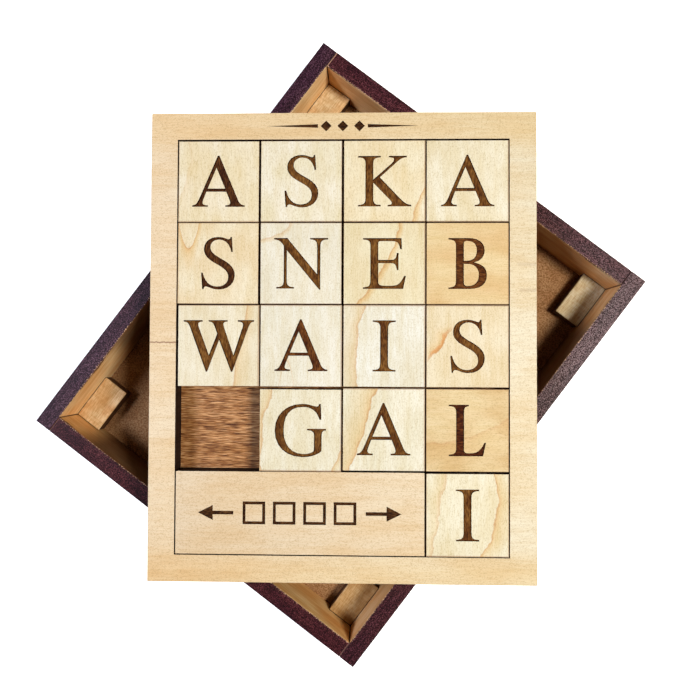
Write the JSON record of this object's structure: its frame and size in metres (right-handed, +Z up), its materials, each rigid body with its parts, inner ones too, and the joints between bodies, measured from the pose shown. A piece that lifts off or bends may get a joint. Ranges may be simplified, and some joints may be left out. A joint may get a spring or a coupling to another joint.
{
  "type": "sliding tile puzzle",
  "caption": "Sliding letter-tile puzzle: square wooden tiles in a framed tray with an empty cell, lying across its open storage box.",
  "frame": {"origin": "centre of the storage box's underside", "axes": "+Z up through the tray, +Y towards the tops of the letters, +X to the letters' right"},
  "size_m": [0.2016, 0.2068, 0.0339],
  "materials": {
    "stained_wall": "dark stain, matte",
    "block_wood": "sawn and sanded, bare",
    "hardboard_floor": "matte hardboard",
    "brown_base_board": "oiled, fine open grain",
    "frame_plywood": "sanded maple plywood, laser cut",
    "pale_maple": "sanded maple, laser engraved",
    "tan_maple": "sanded darker maple, laser engraved"
  },
  "bodies": {
    "storage_box": {"box_floor": "hardboard_floor", "long_wall_left": "stained_wall", "long_wall_right": "stained_wall", "short_wall_head": "stained_wall", "short_wall_foot": "stained_wall", "corner_block_head_left": "block_wood", "corner_block_head_right": "block_wood", "corner_block_foot_left": "block_wood", "corner_block_foot_right": "block_wood"},
    "puzzle_tray": {"tray_base": "brown_base_board", "tray_frame": "frame_plywood", "plaque": "frame_plywood"},
    "letter_a_r1c1": {"tile_a_r1c1": "pale_maple"},
    "letter_s_r1c2": {"tile_s_r1c2": "pale_maple"},
    "letter_k_r1c3": {"tile_k_r1c3": "pale_maple"},
    "letter_a_r1c4": {"tile_a_r1c4": "pale_maple"},
    "letter_s_r2c1": {"tile_s_r2c1": "pale_maple"},
    "letter_n_r2c2": {"tile_n_r2c2": "pale_maple"},
    "letter_e_r2c3": {"tile_e_r2c3": "pale_maple"},
    "letter_b_r2c4": {"tile_b_r2c4": "tan_maple"},
    "letter_w_r3c1": {"tile_w_r3c1": "pale_maple"},
    "letter_a_r3c2": {"tile_a_r3c2": "pale_maple"},
    "letter_i_r3c3": {"tile_i_r3c3": "pale_maple"},
    "letter_s_r3c4": {"tile_s_r3c4": "pale_maple"},
    "letter_g_r4c2": {"tile_g_r4c2": "pale_maple"},
    "letter_a_r4c3": {"tile_a_r4c3": "pale_maple"},
    "letter_l_r4c4": {"tile_l_r4c4": "tan_maple"},
    "letter_i_r5c4": {"tile_i_r5c4": "pale_maple"}
  },
  "joints": [
    {"name": "tray_lift", "type": "slide", "parent": "storage_box", "child": "puzzle_tray", "axis": [0, 0, 1], "range_m": [0, 0.06]},
    {"name": "slide_down_w_r3c1", "type": "slide", "parent": "puzzle_tray", "child": "letter_w_r3c1", "axis": [0, 1, 0], "range_m": [-0.0258, 0]},
    {"name": "slide_down_s_r2c1", "type": "slide", "parent": "puzzle_tray", "child": "letter_s_r2c1", "axis": [0, 1, 0], "range_m": [-0.0258, 0]},
    {"name": "slide_down_a_r1c1", "type": "slide", "parent": "puzzle_tray", "child": "letter_a_r1c1", "axis": [0, 1, 0], "range_m": [-0.0258, 0]},
    {"name": "slide_left_g_r4c2", "type": "slide", "parent": "puzzle_tray", "child": "letter_g_r4c2", "axis": [-1, 0, 0], "range_m": [0, 0.0258]},
    {"name": "slide_left_a_r4c3", "type": "slide", "parent": "puzzle_tray", "child": "letter_a_r4c3", "axis": [-1, 0, 0], "range_m": [0, 0.0258]},
    {"name": "slide_left_l_r4c4", "type": "slide", "parent": "puzzle_tray", "child": "letter_l_r4c4", "axis": [-1, 0, 0], "range_m": [0, 0.0258]},
    {"name": "lift_out_s_r1c2", "type": "slide", "parent": "puzzle_tray", "child": "letter_s_r1c2", "axis": [0, 0, 1], "range_m": [0, 0.02]},
    {"name": "lift_out_k_r1c3", "type": "slide", "parent": "puzzle_tray", "child": "letter_k_r1c3", "axis": [0, 0, 1], "range_m": [0, 0.02]},
    {"name": "lift_out_a_r1c4", "type": "slide", "parent": "puzzle_tray", "child": "letter_a_r1c4", "axis": [0, 0, 1], "range_m": [0, 0.02]},
    {"name": "lift_out_n_r2c2", "type": "slide", "parent": "puzzle_tray", "child": "letter_n_r2c2", "axis": [0, 0, 1], "range_m": [0, 0.02]},
    {"name": "lift_out_e_r2c3", "type": "slide", "parent": "puzzle_tray", "child": "letter_e_r2c3", "axis": [0, 0, 1], "range_m": [0, 0.02]},
    {"name": "lift_out_b_r2c4", "type": "slide", "parent": "puzzle_tray", "child": "letter_b_r2c4", "axis": [0, 0, 1], "range_m": [0, 0.02]},
    {"name": "lift_out_a_r3c2", "type": "slide", "parent": "puzzle_tray", "child": "letter_a_r3c2", "axis": [0, 0, 1], "range_m": [0, 0.02]},
    {"name": "lift_out_i_r3c3", "type": "slide", "parent": "puzzle_tray", "child": "letter_i_r3c3", "axis": [0, 0, 1], "range_m": [0, 0.02]},
    {"name": "lift_out_s_r3c4", "type": "slide", "parent": "puzzle_tray", "child": "letter_s_r3c4", "axis": [0, 0, 1], "range_m": [0, 0.02]},
    {"name": "lift_out_i_r5c4", "type": "slide", "parent": "puzzle_tray", "child": "letter_i_r5c4", "axis": [0, 0, 1], "range_m": [0, 0.02]}
  ],
  "couplings": [
    {"joint": "slide_down_s_r2c1", "follows": "slide_down_w_r3c1", "ratio": 1},
    {"joint": "slide_down_a_r1c1", "follows": "slide_down_w_r3c1", "ratio": 1},
    {"joint": "slide_left_a_r4c3", "follows": "slide_left_g_r4c2", "ratio": 1},
    {"joint": "slide_left_l_r4c4", "follows": "slide_left_g_r4c2", "ratio": 1}
  ]
}
